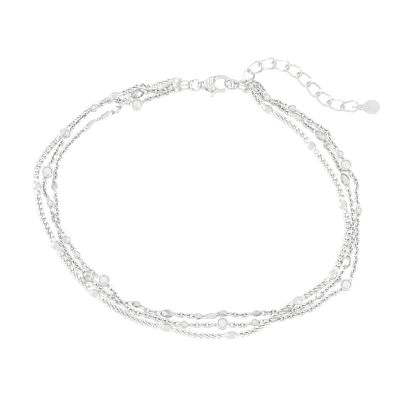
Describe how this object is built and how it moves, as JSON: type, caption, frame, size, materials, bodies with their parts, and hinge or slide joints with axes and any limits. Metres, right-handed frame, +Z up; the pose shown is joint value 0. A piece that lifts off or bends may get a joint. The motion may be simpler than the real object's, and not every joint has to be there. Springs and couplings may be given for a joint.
{
  "type": "multi-strand chain bracelet with lobster clasp",
  "caption": "Layered silver chain bracelet: a curb chain, a beaded chain and a chain set with clear stones, on a lobster clasp with an extender chain and a small bare tag.",
  "frame": {"origin": "on the surface that the bracelet lies on, below the middle of its outline, extender and tag included", "axes": "+Z up off the surface; +Y from the origin towards the clasp; +X towards the extender's tag"},
  "size_m": [0.0663, 0.0568, 0.003],
  "materials": {
    "chain_silver": "bright polished silver chain",
    "polished_silver": "mirror polished silver",
    "stone": "clear faceted stone"
  },
  "bodies": {
    "chain": {"curb_strand": "chain_silver", "bead_strand": "chain_silver", "stone_strand": "chain_silver", "clasp_body": "polished_silver", "clasp_ring": "polished_silver", "hook_ring": "polished_silver", "end_link_left_1": "polished_silver", "end_link_left_2": "polished_silver", "end_link_left_3": "polished_silver", "end_link_right_1": "polished_silver", "end_link_right_2": "polished_silver", "end_link_right_3": "polished_silver", "extender_link_1": "polished_silver", "extender_link_2": "polished_silver", "extender_link_3": "polished_silver", "extender_link_4": "polished_silver", "extender_link_5": "polished_silver", "extender_link_6": "polished_silver", "extender_link_7": "polished_silver", "extender_link_8": "polished_silver", "extender_link_9": "polished_silver", "extender_link_10": "polished_silver", "tag_ring": "polished_silver", "tag": "polished_silver", "stone_1": "stone", "stone_2": "stone", "stone_3": "stone", "stone_4": "stone", "stone_5": "stone", "stone_6": "stone"},
    "lever": {"clasp_lever": "polished_silver"}
  },
  "joints": [
    {"name": "clasp_lever_hinge", "type": "hinge", "parent": "chain", "child": "lever", "pos_m": [0.0006, 0.02195, 0.0014], "axis": [0, 0, 1], "range_deg": [0, 15], "stiffness_Nm_per_rad": 0.002, "springref_deg": -17.19}
  ]
}
